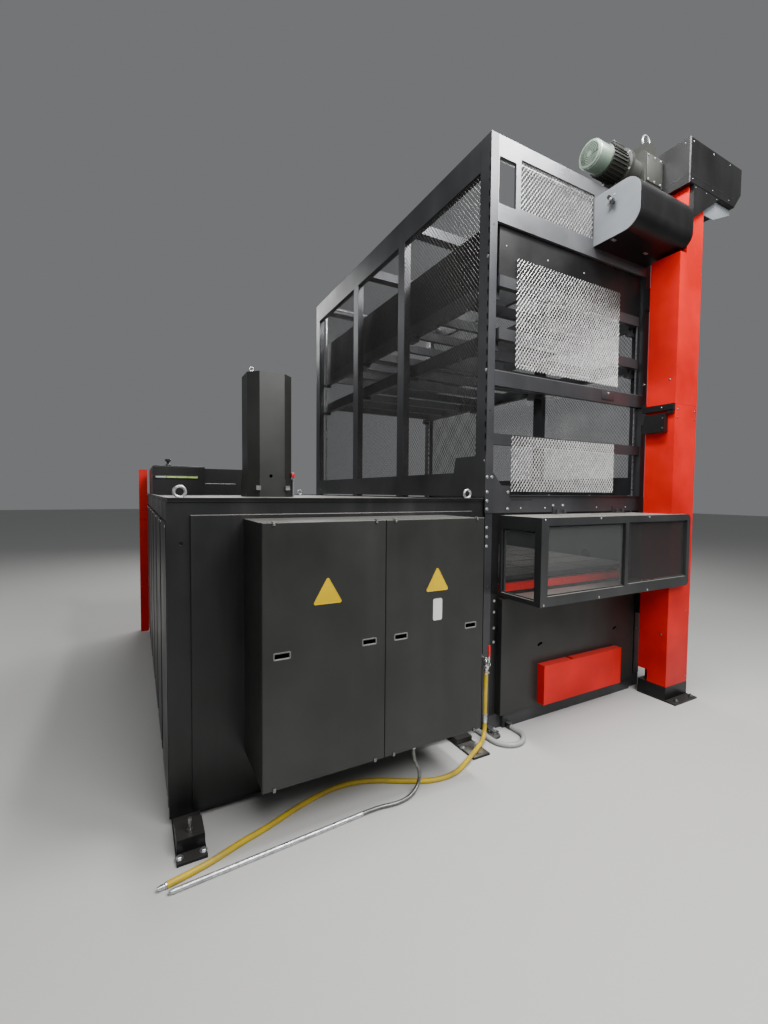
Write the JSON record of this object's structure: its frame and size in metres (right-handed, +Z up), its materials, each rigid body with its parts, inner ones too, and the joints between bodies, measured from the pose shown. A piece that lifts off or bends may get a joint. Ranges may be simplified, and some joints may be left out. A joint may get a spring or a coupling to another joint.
{
  "type": "punch laser combination machine",
  "caption": "Enclosed sheet punching and laser cutting body with an electrical cabinet, a cassette storage tower with expanded metal walls, a window guard and a red hoist mast",
  "frame": {"origin": "on the floor, in the middle of the whole machine's footprint box without its hoses and conduit", "axes": "+X to the right along the front, +Y to the rear, +Z up"},
  "size_m": [4.17, 3.8668, 4.2904],
  "materials": {
    "charcoal_paint": "satin",
    "tower_paint": "satin",
    "black_paint": "satin",
    "brush_black": "matt",
    "red_paint": "satin",
    "lever_red": "gloss",
    "mesh_steel": "satin",
    "zinc_steel": "satin",
    "module_grey": "matt",
    "plate_grey": "satin",
    "lock_black": "gloss",
    "motor_paint": "satin",
    "pane_clear": "polished",
    "pane_tinted": "polished",
    "hose_yellow": "satin",
    "hose_grey": "matt",
    "valve_chrome": "polished"
  },
  "bodies": {
    "machine": {"access_panel": "tower_paint", "air_hose": "hose_yellow", "air_hose_drop": "hose_yellow", "air_valve": "valve_chrome", "base_frame": "charcoal_paint", "body_panels": "charcoal_paint", "cabinet_electrics": "module_grey", "cabinet_shell": "charcoal_paint", "cable_loop": "hose_grey", "cassette_rails": "tower_paint", "column_collar": "charcoal_paint", "corner_post": "red_paint", "drive_box": "black_paint", "drive_stay": "plate_grey", "drum_end_plate": "plate_grey", "drum_hood": "black_paint", "flexible_conduit": "zinc_steel", "foot_brackets": "black_paint", "front_stile": "black_paint", "front_top_frame": "tower_paint", "gearbox": "motor_paint", "guard_brackets": "tower_paint", "guard_frame": "tower_paint", "guard_pane_clear": "pane_clear", "guard_pane_tinted": "pane_tinted", "hoist_motor": "motor_paint", "lift_chains": "zinc_steel", "lifting_eyes": "zinc_steel", "line_fittings": "zinc_steel", "machine_bolts": "zinc_steel", "mast_foot": "black_paint", "mast_lower": "red_paint", "mast_sensor": "black_paint", "mast_shroud": "black_paint", "mast_upper": "red_paint", "mesh_front": "mesh_steel", "mesh_sides": "mesh_steel", "octagonal_column": "charcoal_paint", "punch_hoods": "black_paint", "red_box": "red_paint", "rigid_conduit": "zinc_steel", "top_cover": "charcoal_paint", "tower_beams": "tower_paint", "tower_brackets": "tower_paint", "tower_plates": "tower_paint", "tower_posts": "tower_paint", "wall_sheets": "charcoal_paint"},
    "cover_left": {"cabinet_cover_left": "charcoal_paint", "cover_clips_left": "zinc_steel"},
    "cover_right": {"cabinet_cover_right": "charcoal_paint", "cover_clips_right": "zinc_steel"},
    "lift": {"lift_table": "red_paint", "lift_brushes": "brush_black"},
    "shaft_front": {"lift_shaft_front": "zinc_steel"},
    "shaft_rear": {"lift_shaft_rear": "zinc_steel"},
    "lower_cassette": {"cassette_lower": "tower_paint"},
    "upper_cassette": {"cassette_upper": "tower_paint", "cassette_walls": "black_paint"},
    "hood_lock": {"drum_lock": "lock_black"},
    "inlet_lever": {"valve_lever": "lever_red"}
  },
  "joints": [
    {"name": "cover_left_lift_off", "type": "slide", "parent": "machine", "child": "cover_left", "axis": [0, -1, 0], "range_m": [0, 0.3]},
    {"name": "cover_right_lift_off", "type": "slide", "parent": "machine", "child": "cover_right", "axis": [0, -1, 0], "range_m": [0, 0.3]},
    {"name": "lift_travel", "type": "slide", "parent": "machine", "child": "lift", "axis": [0, 0, 1], "range_m": [0, 0.8], "deforming": ["lift_chains"]},
    {"name": "shaft_front_turn", "type": "hinge", "parent": "machine", "child": "shaft_front", "pos_m": [0.654, -1.46, 3.725], "axis": [1, 0, 0], "range_deg": [-1080, 0]},
    {"name": "shaft_rear_turn", "type": "hinge", "parent": "machine", "child": "shaft_rear", "pos_m": [0.654, 1.37, 3.725], "axis": [1, 0, 0], "range_deg": [0, 1080]},
    {"name": "lower_cassette_slide", "type": "slide", "parent": "machine", "child": "lower_cassette", "axis": [0, 1, 0], "range_m": [0, 1.4]},
    {"name": "upper_cassette_slide", "type": "slide", "parent": "machine", "child": "upper_cassette", "axis": [0, 1, 0], "range_m": [0, 1.4]},
    {"name": "hood_lock_turn", "type": "hinge", "parent": "machine", "child": "hood_lock", "pos_m": [0.792, -1.698, 3.571], "axis": [-1, 0, 0], "range_deg": [0, 90]},
    {"name": "inlet_lever_turn", "type": "hinge", "parent": "machine", "child": "inlet_lever", "pos_m": [-0.193, -1.632, 0.48], "axis": [0, 1, 0], "range_deg": [0, 90]}
  ],
  "couplings": [
    {"joint": "shaft_front_turn", "follows": "lift_travel", "rad_per_m": -23.256},
    {"joint": "shaft_rear_turn", "follows": "lift_travel", "rad_per_m": 23.256}
  ]
}
